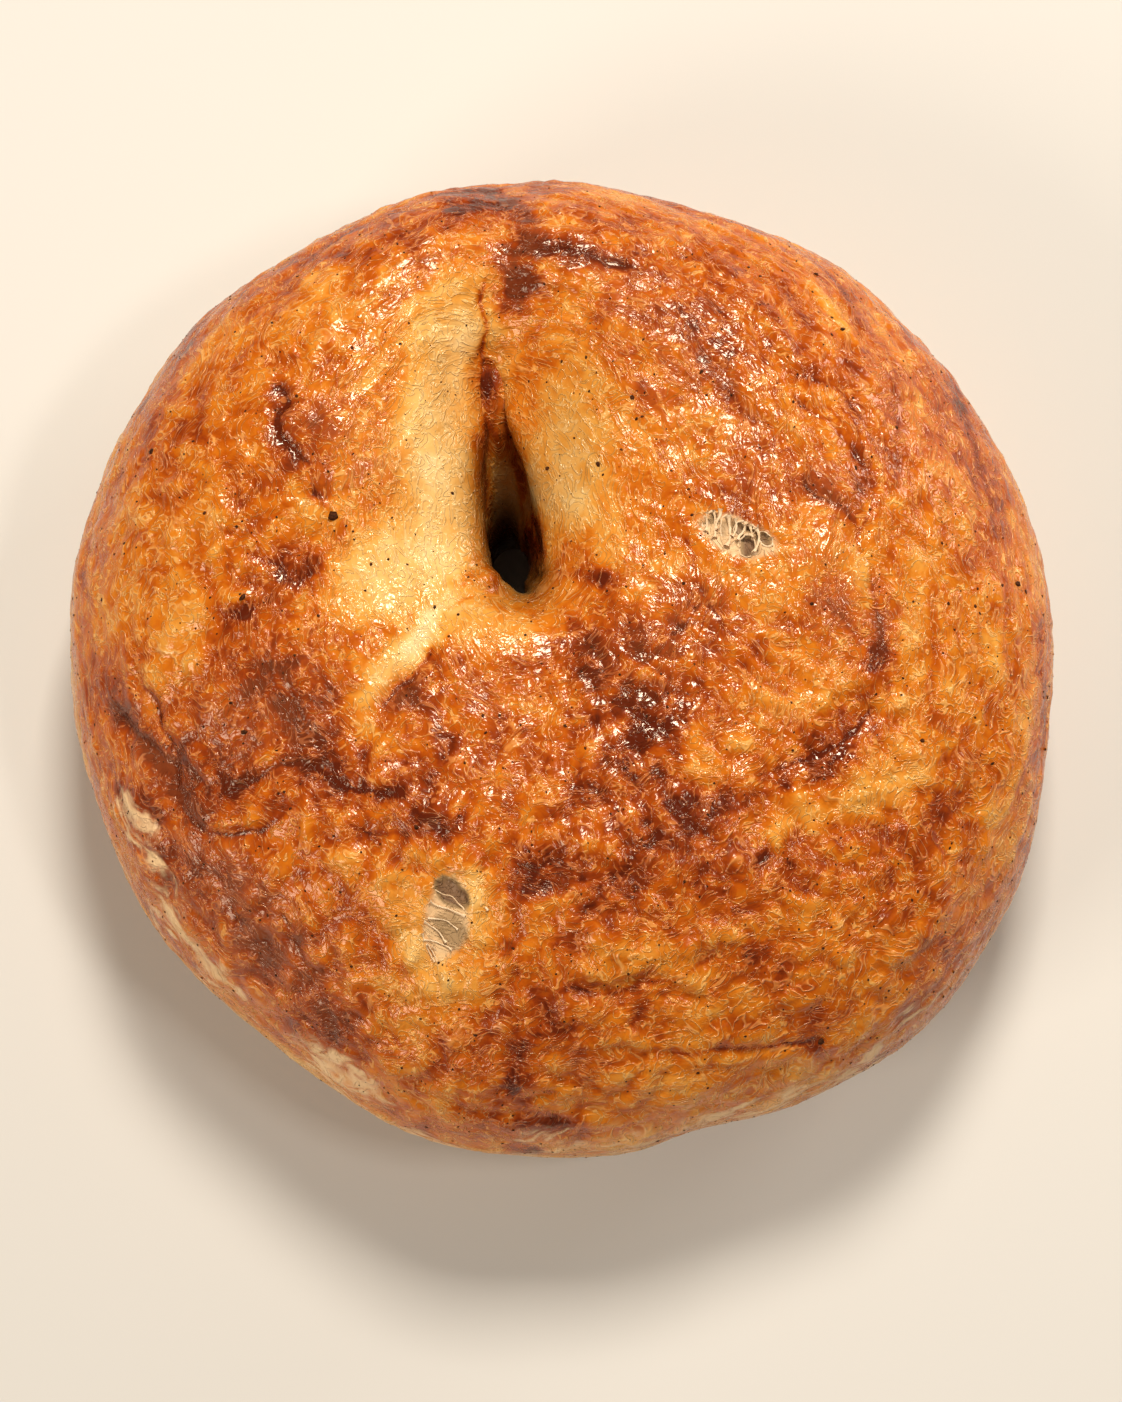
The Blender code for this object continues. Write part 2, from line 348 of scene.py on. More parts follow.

# How far the crust is baked, added to or taken from the level of plain crust, with a few paler spots of
# painted highlight
BAKED_AND_HIGHLIGHT = rows_of(
    Patch,
    # pale dough round the slot and the lower bubble
    (-13.4, 27, 17, 4.4, 91, -0.42), (-13.6, 17, 8, 3.2, 88, -0.16), (-20.5, 10, 7, 4.8, 10, -0.35),
    (-17.9, 1.2, 6.8, 1.8, 52, -0.62), (-16.6, -32.2, 2.8, 1.7, -50, -0.22),
    (-8.6, -29.5, 3.8, 1.9, 78, -0.04), (-10.6, -24.2, 2.8, 1.4, -30, -0.18),
    (0.6, 24.8, 10, 4.6, 80, -0.42), (5.5, 18.5, 5, 3.2, -20, -0.12), (11.5, 20.5, 3, 2.4, 0, 0.06),
    (-9, 38.5, 7.5, 3.6, 98, -0.34), (-7.2, 4.4, 5.6, 3.8, 0, -0.24), (0.2, 8.2, 2.6, 2, 0, -0.18),
    (1.6, 42.4, 2.6, 2, 0, -0.24),
    # golden crust; some paler spots on the right are painted highlight where the glaze glints
    (16, 14, 12, 5, -15, -0.14), (13.5, 14.5, 3, 2.4, 0, -0.08), (40, 1, 12, 5, 82, -0.06),
    (29.5, 29, 5, 2.6, -50, -0.14), (36, 12, 3, 4, 0, -0.08), (-19, -28.5, 3.4, 4, 0, -0.12),
    (-34.5, 28, 2.2, 5, 0, -0.10), (-45.5, 4, 3, 5, 0, -0.10), (49, -2, 6, 2.2, 88, -0.10),
    (50, -22, 7, 2.4, 68, -0.12), (37.5, -32, 3.4, 2.4, 40, -0.10), (34.5, 6.5, 2.2, 3, 0, -0.10),
    (-20, 21, 11, 5, 80, -0.20), (-29, 16.5, 4, 2.4, 60, -0.16), (12, 25, 9, 4, -50, -0.14),
    (-25, 39.5, 13, 6, 35, -0.12), (-38.5, 37, 5, 3, 45, -0.14), (29, 31, 5, 1.6, -50, -0.14),
    (20.5, 32, 3.6, 1.2, -55, -0.12), (-50.5, 14, 16, 3.6, 80, -0.12), (-43, 11, 7, 5, 60, -0.14),
    (-43, 1, 7, 3.6, 60, -0.16), (8, 50, 12, 3.6, -8, -0.08), (43, 12, 14, 4.6, -80, -0.10),
    (27.5, -1, 7, 3.4, 10, -0.18), (18, -8, 5, 2.4, 15, -0.24), (35, -14, 4.6, 2.6, 20, -0.30),
    (43, -13, 4, 5, 70, -0.12), (47, -20, 8, 3, 70, -0.10), (24, -17.5, 7, 2.2, 14, -0.18),
    (34.5, -4.5, 2, 2, 0, -0.16), (34, 8.5, 2.4, 1.6, 80, -0.14), (13, 12, 3, 2.2, 0, -0.10),
    (-13.8, -31.5, 10, 5, 75, -0.20), (-9, -26, 4.6, 2.4, 80, -0.12), (-3, -17.5, 5, 1.6, 20, -0.12),
    (-24, -24, 8, 4, 20, -0.08), (-33, -18.5, 5, 2.6, -30, -0.18), (-24, -34.5, 4, 2.4, -30, -0.14),
    (-12, -38.5, 5, 3, 30, -0.12), (-48.5, -10, 4, 1.4, -60, -0.16), (14, -28, 4, 2, 0, -0.12),
    (30, -26, 10, 4, 10, -0.06), (8, -33.8, 10, 2.2, 8, -0.18), (18, -38.6, 5, 2.2, 10, -0.14),
    (38, -34, 7, 4, 45, -0.12), (16, -47, 16, 3.6, 8, -0.16), (-40, 22, 8, 6, 60, -0.06),
    (34, 15, 3.6, 2.6, 80, -0.14), (49.5, 7, 6, 2, 85, -0.14),
    # brown crust
    (11, 40, 4, 2.4, -20, 0.10), (-26, -17.5, 5, 2.4, 0, 0.08), (-4, -9.5, 3.4, 3.4, 0, 0.08),
    (19, -7.5, 3, 2.6, 0, 0.08), (-34, -5, 8, 6, 60, 0.20), (-23, -11, 9, 3, -10, 0.16),
    (-13.5, -17.5, 6, 2.6, -20, 0.16), (2, -14, 9, 2, 12, 0.08), (-34, 9.5, 6, 3, 48, 0.18),
    (-30, 26, 5, 4, -50, 0.12), (-14.5, 46, 5, 3, 20, 0.18), (3, 51, 5, 2.4, -8, 0.08),
    (0.5, -38.5, 4, 2.6, 0, 0.08), (16, 36.5, 10, 4, -40, 0.06), (26, 38, 12, 3, -40, 0.08),
    (41, 21, 7, 2, -62, 0.10), (25, 16.5, 5, 1.6, -10, 0.10), (7, 0.5, 7, 5, -20, 0.24),
    (10, -8.5, 7, 3, 25, 0.24), (13, -16.5, 8, 2, 18, 0.10), (26, -22.5, 8, 3, 12, 0.12),
    (41, -28, 4, 2.4, 50, 0.10), (4.2, 10.8, 2.4, 1.1, 5, 0.24), (-11.2, 10.2, 1.1, 0.8, 0, 0.16),
    (-5.4, 10, 2.2, 0.6, 0, 0.16), (-2.6, 10.6, 1, 0.8, 30, 0.20), (6.5, 30.5, 3.4, 2.4, -40, 0.08),
    (33.2, 7, 4, 2.6, 0, 0.16), (35.6, 0.6, 2.6, 3.6, 0, 0.22), (31, 20.4, 4.2, 2.2, -50, 0.12),
    (-33.6, -29.5, 14, 4.2, -48, 0.21), (-47, -8, 10, 2.2, -52, 0.12), (-37, -15.5, 7, 2, -12, 0.04),
    (12, -23, 12, 5.5, -10, 0.08), (-0.5, -25, 6, 3.6, -60, 0.08), (1.5, -34.5, 4, 3, 0, 0.06),
    (-6.9, -42, 9, 3.6, 0, 0.10), (41, -18, 9, 2.4, 62, 0.12), (9, 44, 8, 2.4, -10, 0.04),
    (31, -9, 6, 2.2, 30, 0.08), (-18, -1.8, 3, 2.6, 45, 0.22), (50.5, 5.5, 5, 1.6, -80, 0.14),
    (-15, 50, 5, 2.6, 10, 0.10),
    # near-black smears
    (-11.2, 53.4, 3.4, 1.4, -8, 0.24), (-6.4, 52.2, 3.8, 1.6, -30, 0.22),
    (-3.9, 49.6, 2.8, 1.8, -60, 0.20), (-5, 46, 3.4, 1.9, 85, 0.18), (-4.9, 42, 2.4, 1.7, 60, 0.34),
    (1, 47.5, 4.4, 1.4, -12, 0.12), (-8.9, 33.8, 2.3, 1.6, 75, 0.24), (-32, 31.2, 1.8, 1.4, 0, 0.12),
    (-31.4, 27, 2.4, 1, -60, 0.10), (-5.2, -46.9, 1.9, 1, 5, 0.42), (-0.9, -51.8, 3.8, 1, -3, 0.26),
    (29.2, -43.2, 1.1, 1, 0, 0.34), (-3.9, -54.6, 2.4, 0.7, 0, 0.40),
)

# The slot's ramp, on which brown and scorched smears lie over pale dough, and painted shade darkens its left
# wall
SLOT_PALE = 0.14
SLOT_BAKED_AND_SHADED = rows_of(
    Patch,
    (-8.6, 33.9, 3, 2, 80, 0.54), (-7.4, 28.6, 5, 2.4, 97, 0.56), (-8.9, 27.6, 4.6, 1.2, 97, 0.14),
    (-9, 21, 7, 1, 99, 0.60), (-4.3, 22.4, 3.2, 0.6, 98, 0.60), (-2.4, 15, 3, 0.6, 97, 0.50),
)

# Painted shade on the banks of the slot and below the hole, in their shelter
SHADED = rows_of(
    Patch,
    (0, 24, 12, 4.6, 80, 0.24), (-5.4, 8, 4, 1.6, 0, 0.30), (-12.8, 28, 9, 1.6, 98, 0.16),
)

# Pink-brown, where the crust is scalded and not golden
SCALDED = rows_of(
    Patch,
    (-33.6, -29.5, 14, 4.2, -48, 0.8), (-23.6, 25, 7, 4.2, -40, 0.9), (-33, -4, 8, 6, 20, 0.5),
    (14, 32.5, 14, 5, -48, 0.4), (33.2, 6.4, 5.2, 4, 0, 0.8), (30.5, 11.5, 4, 3, 0, 0.6),
    (-5, 47.5, 8, 2.8, 75, 0.5), (-46.5, -8.5, 9, 2.4, -52, 0.6), (12, 4.5, 8, 5, 30, 0.4),
    (-18, -1.8, 3, 2.6, 45, 0.7), (31, 20.4, 4.2, 2.6, -50, 0.6),
)

# Added to the gloss of plain crust, or taken from it
GLOSSY = rows_of(
    Patch,
    (31, 9.5, 6, 4, 50, 0.9), (30, 43.6, 9, 2.6, -38, 1), (30.5, -13.6, 7, 3.4, 20, 1),
    (22, -8.8, 7, 2.6, 8, 0.8), (-50.5, 19.3, 7, 2.2, 78, 0.9), (-2, 46, 16, 7, 0, -0.25),
    (27, 30, 14, 4, -55, 0.4), (50, 0, 16, 4, 88, 0.4), (14, 0, 14, 8, -20, 0.3),
    (-38, 20, 12, 9, 60, 0.3), (-17, 14, 10, 5, 60, 0.3), (3, 22, 10, 6, 80, -0.2),
    (-10, -38, 40, 14, 0, -0.2),
)

# Where the skin has torn and pale dough shows
TORN = rows_of(
    Patch,
    (-48.3, -16.9, 2.8, 1.7, -50, 1.2), (-45.5, -23, 5, 1.6, -60, 0.6), (-41.3, -32, 7.5, 1.3, -47, 1),
    (-24.5, -46, 8, 2, -38, 0.7), (2, -53.5, 16, 1.6, -3, 0.6), (25, -49, 12, 1.8, 16, 0.7),
    (40, -40, 8, 1.6, 42, 0.6),
)

# Where the skin is more lumpy, or less
LUMPY = rows_of(
    Patch,
    (-40, 10, 18, 10, 80, 0.8), (-22, -22, 18, 14, 0, 0.8), (18, -22, 28, 18, 10, 0.7),
    (20, -3, 16, 9, 0, 0.6), (0, -44, 34, 10, 0, 0.4), (-8, 20, 18, 12, 85, -0.5),
    (-32, -3, 9, 7, 20, -0.4),
)

# Where the crust swells, in millimetres
RAISED = rows_of(
    Patch,
    (-7.4, 3.6, 5.4, 3.4, 0, 0.8), (-5.6, 9.4, 1.3, 0.9, 0, 0.9), (-8.2, 10.4, 1.2, 0.9, -40, 0.9),
    (-3.2, 9.8, 1, 0.9, 40, 0.7), (-22.5, 24.5, 6.5, 3.4, -42, 0.5), (-33, -1, 8, 6, 20, 0.4),
    (33.5, -13.5, 5.5, 2.4, 20, 0.5), (35.5, 1, 3.4, 2.4, 80, 0.4), (31, 20.4, 3.4, 1.8, -50, 0.4),
    (-35, -16, 5, 1.8, -8, 0.4), (27, -43.6, 4, 1, 8, 0.3),
)

# Two bubbles whose skin has torn to a pale web: the amount is how far the web lies below the crust
BUBBLES = rows_of(Patch, (19.9, 15.3, 4.6, 2.1, -27, 0.25), (-13.1, -28.3, 4.8, 2.5, 78, 0.45))
# The cells that the web leaves open: the amount is their depth. The small ones have a lip of dough.
SMALL_CELLS = rows_of(
    Patch,
    (17, 17.2, 0.95, 0.50, 80, 0.7), (16.1, 16.9, 0.65, 0.36, 75, 0.5), (18.6, 16.4, 1.30, 0.58, 80, 0.4),
    (20.3, 16.2, 0.85, 0.70, 60, 0.7), (21.2, 14.2, 1.30, 0.98, 85, 1), (21.8, 16.1, 0.50, 0.30, 95, 0.5),
    (23.2, 15, 1.05, 0.66, -50, 0.8),
)
LARGE_CELLS = rows_of(Patch, (-12.3, -25.4, 2.30, 1.45, -40, 1.1), (-12.8, -29.7, 2.60, 1.85, -50, 0.4))

# How the edges of the markings wander: size of the wander in metres, and its reach in millimetres
RAGGED = ((6 * MM, 0.9), (2.5 * MM, 0.6), (1.3 * MM, 0.4))
CREASE_WANDER = 0.7  # the share of it that creases follow
BUBBLE_WANDER = 0.5
PATCH_SOFTNESS = 0.7

# A crease's section, in half-widths: a sharp groove in a wider trough, a lip to one side, and its shade
GROOVE_SHARE, TROUGH_SHARE = 0.45, 0.5
TROUGH_WIDTH = 3.2
LIP_PLACE, LIP_WIDTH = 2.4, 1.4
SHADE_WIDTH = 1.35

PLAIN_LEVEL = 0.68  # how far plain crust is baked: 0 is raw dough and 1 is black
PLAIN_GLOSS = 0.32
PLAIN_LUMPS = 0.45
DEEPEST, HIGHEST = -2.2, 0.9  # limits of the relief, in millimetres
SIDE_TO, TOP_FROM = 13, 27  # millimetres up: below the one is bare side, above the other the baked top
# Painted shade in the hole deepens between these two heights
DEEP_FROM, DEEP_TO = 22.0, 14.5  # millimetres up: the hole darkens from the one down to the other


def patch_axes(patch):
    turn = math.radians(patch.turn)
    return np.array((math.cos(turn), math.sin(turn))), np.array((-math.sin(turn), math.cos(turn)))


def patch_reach(patch, x, y):
    """How far out in the patch each place lies: 0 in the middle and 1 on its edge."""
    along, across = patch_axes(patch)
    dx, dy = x - patch.x, y - patch.y
    out_along = (dx * along[0] + dy * along[1]) / patch.long
    return np.hypot(out_along, (dx * across[0] + dy * across[1]) / patch.wide)


def patched(patches, x, y):
    """The sum of the patches, each flat in its middle and soft at its edge."""
    return sum(patch.amount * np.exp(-PATCH_SOFTNESS * patch_reach(patch, x, y) ** 3) for patch in patches)


def smooth_path(points, steps=6):
    """A Catmull-Rom curve through the points."""
    p = np.array([points[0], *points, points[-1]], float)
    t = np.arange(steps)[:, None] / steps
    pieces = [
        0.5
        * (
            2 * p[i]
            + (p[i + 1] - p[i - 1]) * t
            + (2 * p[i - 1] - 5 * p[i] + 4 * p[i + 1] - p[i + 2]) * t**2
            + (3 * p[i] - p[i - 1] - 3 * p[i + 1] + p[i + 2]) * t**3
        )
        for i in range(1, len(p) - 2)
    ]
    return np.concatenate([*pieces, p[-1:]])


def along_crease(points, x, y):
    """Each place's signed distance from the crease's line, and where along it, from 0 to 1."""
    path = smooth_path(points)
    nearest = np.full(x.shape, np.inf)
    signed = np.zeros(x.shape)
    share = np.zeros(x.shape)
    count = len(path) - 1
    for step in range(count):
        start, way = path[step], path[step + 1] - path[step]
        dx, dy = x - start[0], y - start[1]
        t = np.clip((dx * way[0] + dy * way[1]) / way.dot(way), 0, 1)
        away = np.hypot(dx - t * way[0], dy - t * way[1])
        closer = away < nearest
        side = np.sign(way[0] * dy - way[1] * dx)
        nearest = np.where(closer, away, nearest)
        signed = np.where(closer, away * side, signed)
        share = np.where(closer, (step + t) / count, share)
    return signed, share


class Skin:
    """The crust's grid, and the fields over it that its relief and its colours come from."""

    def __init__(self):
        self.form = dough_form()
        self.normal = outward(self.form)
        self.ring = np.arange(len(self.form))[:, None]
        self.bearing = np.broadcast_to(np.arange(AROUND) * math.tau / AROUND, self.form.shape[:2])
        steps = np.linalg.norm(np.roll(self.form, -1, 0) - self.form, axis=-1)
        # length round the section
        self.section = np.concatenate([np.zeros((1, AROUND)), np.cumsum(steps, 0)])
        inner = self.ring >= INNER_RINGS_FROM
        self.girdle = self.section[:-1] - inner * self.section[-1]  # length outward from the crown
        to_eye = np.array(AIM + TO_CAMERA * REACH) - self.form
        to_eye /= np.linalg.norm(to_eye, axis=-1, keepdims=True)
        self.facing = (to_eye * self.normal).sum(-1)
        self.seen = smooth_step(self.facing, 0.02, 0.22)
        self.true_x, self.true_y = chart(self.form)
        self.x, self.y = self.true_x.copy(), self.true_y.copy()
        for size, push in RAGGED:
            self.x += push * noise_over(self.form, size, 1)
            self.y += push * noise_over(self.form, size, 2)
        self.height_mm = self.form[..., 2] / MM
        self.find_zones()
        self.work_out()

    def find_zones(self):
        """Where the skin is low at the side, clear of the floor, lumpy, taut, or right of the hole."""
        self.side = 1 - smooth_step(self.height_mm, SIDE_TO, TOP_FROM)
        self.clear = smooth_step(self.height_mm, 1.5, 6)
        self.lumpy = np.clip(PLAIN_LUMPS + patched(LUMPY, self.x, self.y) * self.seen, 0.1, 1.3)
        bank = smooth_step(self.ring, SHOULDER_FROM + 10, SHOULDER_FROM + 42)
        bank = np.where(self.ring < INNER_RINGS_FROM, 1.0, bank)
        self.taut = np.clip(1.15 - self.lumpy, 0.15, 1) * bank
        self.right = smooth_step(self.form[..., 0] + 0.15 * self.form[..., 1], -3.5 * MM, -1.5 * MM)
        bend = np.stack([noise_over(self.form, 4 * MM, seed) for seed in (31, 32, 33)], -1)
        self.bent = self.form + bend * 1.6 * MM
        self.smears = noise_over(self.bent, 3 * MM, 12)

    def wandering(self, share):
        """The chart's x and y, moved by this share of the wander."""
        return self.true_x + share * (self.x - self.true_x), self.true_y + share * (self.y - self.true_y)

    def streaks(self, along_mm, across_mm, seed):
        """Noise drawn out round the bagel: its features are this long and this wide."""
        turns = RIM_RADIUS / (along_mm * MM)
        round_hole = np.cos(self.bearing) * turns, np.sin(self.bearing) * turns
        return noise_over(np.stack([*round_hole, self.girdle / (across_mm * MM)], -1), 1.0, seed)

    def crease_fields(self):
        """How far the nearest crease is, how dark it is, the shade along all creases, and their relief."""
        nearest = np.full(self.x.shape, 9.0)
        strength = np.zeros(self.x.shape)
        shade = np.zeros(self.x.shape)
        drop = np.zeros(self.x.shape)
        place = self.wandering(CREASE_WANDER)
        broken = 0.90 + 0.7 * noise_over(self.form, 3.5 * MM, 21) + 0.4 * noise_over(self.form, 1.6 * MM, 22)
        broken = np.clip(broken, 0.50, 1.15)
        for crease in CREASES:
            signed, share = along_crease(crease.points, *place)
            fade = band(share, 0, 0.15, 0.8, 1) * self.seen * broken
            away = np.abs(signed) / crease.width
            groove = GROOVE_SHARE * hump(away, 1.5) + TROUGH_SHARE * hump(away / TROUGH_WIDTH)
            drop -= crease.depth * groove * fade
            beside = (signed - LIP_PLACE * crease.width) / (LIP_WIDTH * crease.width)
            drop += crease.lip * hump(beside) * fade
            shade = np.maximum(shade, crease.dark * fade * hump(away / SHADE_WIDTH, 1.5))
            closer = np.abs(signed) < np.abs(nearest)
            nearest = np.where(closer, signed, nearest)
            strength = np.where(closer, crease.dark * fade, strength)
        return nearest, strength, shade, drop

    def bubble_fields(self):
        """Each torn bubble's web, the cells that it leaves open, and how far both lie below the crust."""
        web = np.zeros(self.x.shape)
        hollow = np.zeros(self.x.shape)
        drop = np.zeros(self.x.shape)
        ragged = self.wandering(BUBBLE_WANDER)
        for bubble in BUBBLES:
            inside = (1 - smooth_step(patch_reach(bubble, *ragged), 0.60, 1.35)) * self.seen
            web = np.maximum(web, inside)
            drop -= bubble.amount * inside
        for cells, place in ((SMALL_CELLS, (self.true_x, self.true_y)), (LARGE_CELLS, ragged)):
            for cell in cells:
                inside = (1 - smooth_step(patch_reach(cell, *place), 0.75, 1.2)) * self.seen
                hollow = np.maximum(hollow, inside * min(1, cell.amount))
                drop = np.minimum(drop, -cell.amount * inside)
        return web, hollow, drop

    def rolling(self):
        """Lumps and wrinkles, in millimetres about the crust's middle height."""
        big, small, grains = (
            np.abs(noise_over(self.bent, size * MM, seed)) - 0.25
            for size, seed in ((4.6, 5), (2.4, 6), (1.4, 7))
        )
        lumps = self.lumpy * (0.9 * big + 0.7 * small + 0.25 * grains)
        drawn = 0.30 * self.streaks(16, 1.7, 8) + 0.16 * self.streaks(9, 1.0, 9)
        return lumps + (self.taut * drawn + 0.25 * self.streaks(30, 4.5, 10))

    def slot_fields(self):
        """Where the slot is, its ramp's baked level and painted shade, and the painted shade over the slot,
        the hole and the banks.
        """
        ring, y, height = self.ring, self.y, self.height_mm
        in_slot = band(ring, RAMP_FROM - 4, RAMP_FROM, SHOULDER_FROM - 2, SHOULDER_FROM + 13)
        wall = band(ring, RAMP_FROM + 8, SHOULDER_FROM, SHOULDER_FROM, SHOULDER_FROM + 22)
        lit = self.right * smooth_step(y, 10.5, 14)
        # painted shade: down the walls of the slot, less on the lit right wall, then deep in the hole and
        # over the shaded patches
        painted_shade = wall * smooth_step(y, 31, 23) * (0.85 - 0.50 * lit)
        deep = smooth_step(height, DEEP_FROM, DEEP_TO) * smooth_step(height, 2, 8)
        painted_shade = np.maximum(painted_shade, deep * (ring >= INNER_RINGS_FROM + FLARE_STEPS) * (1 - 0.45 * lit))
        painted_shade = np.maximum(painted_shade, in_slot * smooth_step(y, 13, 10.5) * 0.8)
        painted_shade = np.maximum(painted_shade, patched(SHADED, self.x, y) * self.seen)
        ramp = SLOT_PALE + patched(SLOT_BAKED_AND_SHADED, self.x, y) + 0.10 * self.smears
        ramp += 0.30 * self.right * smooth_step(y, 19, 16)
        return in_slot, ramp, painted_shade

    def torn_field(self):
        """Where the skin has torn: in marbled places low on the side, most of all towards the camera."""
        marbled = 0.5 + 0.9 * self.streaks(14, 2.6, 13) + 0.4 * noise_over(self.form, 4 * MM, 14)
        south = 0.5 - 0.5 * np.sin(self.bearing + 0.25)
        torn = self.side * (0.25 + 0.75 * south) * smooth_step(marbled, 0.35, 0.85) * self.clear
        return np.maximum(torn, patched(TORN, self.x, self.y) * smooth_step(self.facing, -0.2, 0.1))

    def lift(self, rolling, web, crease_drop, bubble_drop):
        """Moves the form's points by the relief."""
        on_crust = (1 - 0.8 * web) * self.clear * (1 - 0.4 * self.side)
        raised = patched(RAISED, self.true_x, self.true_y) * self.seen
        relief = (rolling * 0.95 + raised) * on_crust + crease_drop + bubble_drop
        relief = np.clip(relief, DEEPEST, HIGHEST)
        # the right wall of the hole swells into it, and the foot of the slot's wall is rounded
        in_hole = band(self.ring, INNER_RINGS_FROM + 3, RAMP_FROM, RAMP_FROM + 4, SHOULDER_FROM)
        relief += 1.5 * in_hole * self.right * smooth_step(self.y, 22, 16)
        relief += 0.8 * hump((self.ring - SHOULDER_FROM) / 6) * smooth_step(self.y, 21, 28)
        self.points = self.form + self.normal * (relief * MM)[..., None]

    def work_out(self):
        """Sets the points, the grain that the wrinkles follow, and the fields that the material reads."""
        x, y, seen = self.x, self.y, self.seen
        nearest, strength, crease_shade, crease_drop = self.crease_fields()
        web, hollow, bubble_drop = self.bubble_fields()
        rolling = self.rolling()
        self.lift(rolling, web, crease_drop, bubble_drop)

        swirl = noise_over(self.form, 8 * MM, 17) * 5.0 + noise_over(self.form, 3.5 * MM, 18) * 1.6
        across = self.girdle / MM + swirl * np.clip(0.25 + self.lumpy, 0.3, 1.2)
        self.grain = np.stack([self.form[..., 0] / MM, self.form[..., 1] / MM, across], -1)

        baked_and_painted_light = patched(BAKED_AND_HIGHLIGHT, x, y) * seen
        # The crust is darker in the hollows of its relief and paler on its lumps, as painted shade; the
        # noise and the streaks drawn round add tone that differs at random.
        tone_and_hollow_shade = -0.36 * (rolling - 0.05)
        tone_and_hollow_shade += 0.12 * noise_over(self.form, 7 * MM, 11) + 0.12 * self.smears
        tone_and_hollow_shade += self.taut * (0.24 * self.streaks(26, 3.6, 15) + 0.12 * self.streaks(12, 1.7, 16))
        level = PLAIN_LEVEL + baked_and_painted_light + tone_and_hollow_shade * np.clip(1 + 2 * baked_and_painted_light, 0.4, 1) + 0.28 * crease_shade
        in_slot, ramp, painted_shade = self.slot_fields()
        level = between(level - 0.34 * self.side, ramp, in_slot)
        gloss = PLAIN_GLOSS + patched(GLOSSY, x, y) * seen - 0.2 * self.side - 0.3 * in_slot

        self.fields = {
            "level": np.clip(level, 0, 1.1),
            "scalded": np.clip(patched(SCALDED, x, y) * seen, 0, 1),
            "gloss": np.clip(gloss, 0, 1),
            "torn": np.clip(self.torn_field(), 0, 1),
            "web": web,
            "hollow": hollow,
            "painted_shade": painted_shade,
            "crease_across": nearest,
            "crease_dark": strength,
            "taut": self.taut,
            "heel": 1 - smooth_step(self.height_mm, 0.3, 3.5),
        }


# Materials


class Wire:
    """A value in a material's node tree. Arithmetic on it adds Math nodes."""

    def __init__(self, finish, socket):
        self.finish = finish
        self.socket = socket

    def math(self, operation, first, second=0.0):
        return self.finish.node("ShaderNodeMath", {"operation": operation}, Value=first, Value_001=second)

    def __add__(self, other):
        return self.math("ADD", self, other)

    __radd__ = __add__

    def __sub__(self, other):
        return self.math("SUBTRACT", self, other)

    def __rsub__(self, other):
        return self.math("SUBTRACT", other, self)

    def __mul__(self, other):
        return self.math("MULTIPLY", self, other)

    __rmul__ = __mul__

    def __abs__(self):
        return self.math("ABSOLUTE", self)

    def at_most(self, other):
        return self.math("MINIMUM", self, other)

    def at_least(self, other):
        return self.math("MAXIMUM", self, other)

    def rising(self, low, high):
        """0 up to low, 1 from high, and smooth between; the other way round where low is above high."""
        smooth = {"interpolation_type": "SMOOTHSTEP"}
        return self.finish.node("ShaderNodeMapRange", smooth, Value=self, From_Min=low, From_Max=high)


def socket_of(sockets, name):
    """A socket by its identifier, or by its name, with underscores for spaces."""
    for socket in sockets:
        if socket.identifier == name:
            return socket
    return sockets[name.replace("_", " ")]


class Finish:
    """A procedural material in the making."""

    def __init__(self, name):
        self.material = bpy.data.materials.new(name)
        self.material.use_nodes = True
        self.tree = self.material.node_tree
        self.shader = self.tree.nodes["Principled BSDF"]

    def fill(self, node, values):
        for name, value in values.items():
            socket = socket_of(node.inputs, name)
            if isinstance(value, Wire):
                self.tree.links.new(value.socket, socket)
            else:
                socket.default_value = value

    def node(self, kind, settings=None, output=0, **values):
        """A new node: its settings are made first, then its sockets get their values or links."""
        node = self.tree.nodes.new(kind)
        for name, setting in (settings or {}).items():
            if name == "stops":
                for count, (place, colour) in enumerate(setting):
                    stops = node.color_ramp.elements
                    stop = stops[count] if count < 2 else stops.new(place)
                    stop.position = place
                    stop.color = (*colour, 1.0)
            else:
                setattr(node, name, setting)
        self.fill(node, values)
        out = node.outputs[output] if isinstance(output, int) else socket_of(node.outputs, output)
        return Wire(self, out)

    def field(self, name, output="Fac"):
        """A field of the mesh, as a value or a vector."""
        return self.node("ShaderNodeAttribute", {"attribute_name": name}, output)

    def place(self):
        """Where on the bagel, in millimetres."""
        here = self.node("ShaderNodeTexCoord", output="Object")
        return self.stretched(here, 1 / MM, 1 / MM, 1 / MM)

    def stretched(self, vector, x, y, z):
        by = {"operation": "MULTIPLY"}
        return self.node("ShaderNodeVectorMath", by, "Vector", Vector=vector, Vector_001=(x, y, z))

    def noise(self, where, size, detail, rough, distortion=0.0):
        """Noise from 0 to 1 with features of this size, in millimetres where the place is."""
        return self.node(
            "ShaderNodeTexNoise",
            None,
            "Fac",
            Vector=where,
            Scale=1 / size,
            Detail=detail,
            Roughness=rough,
            Distortion=distortion,
        )

    def mixed(self, first, second, share):
        """Two colours mixed, each a colour or a wire."""
        first, second = (c if isinstance(c, Wire) else (*c, 1.0) for c in (first, second))
        values = {"Factor_Float": share, "A_Color": first, "B_Color": second}
        return self.node("ShaderNodeMix", {"data_type": "RGBA"}, "Result_Color", **values)

    def bump(self, height):
        """A normal for relief of this height in millimetres."""
        return self.node("ShaderNodeBump", None, "Normal", Strength=1.0, Distance=MM, Height=height)

    def surface(self, **values):
        self.fill(self.shader, values)
        return self.material


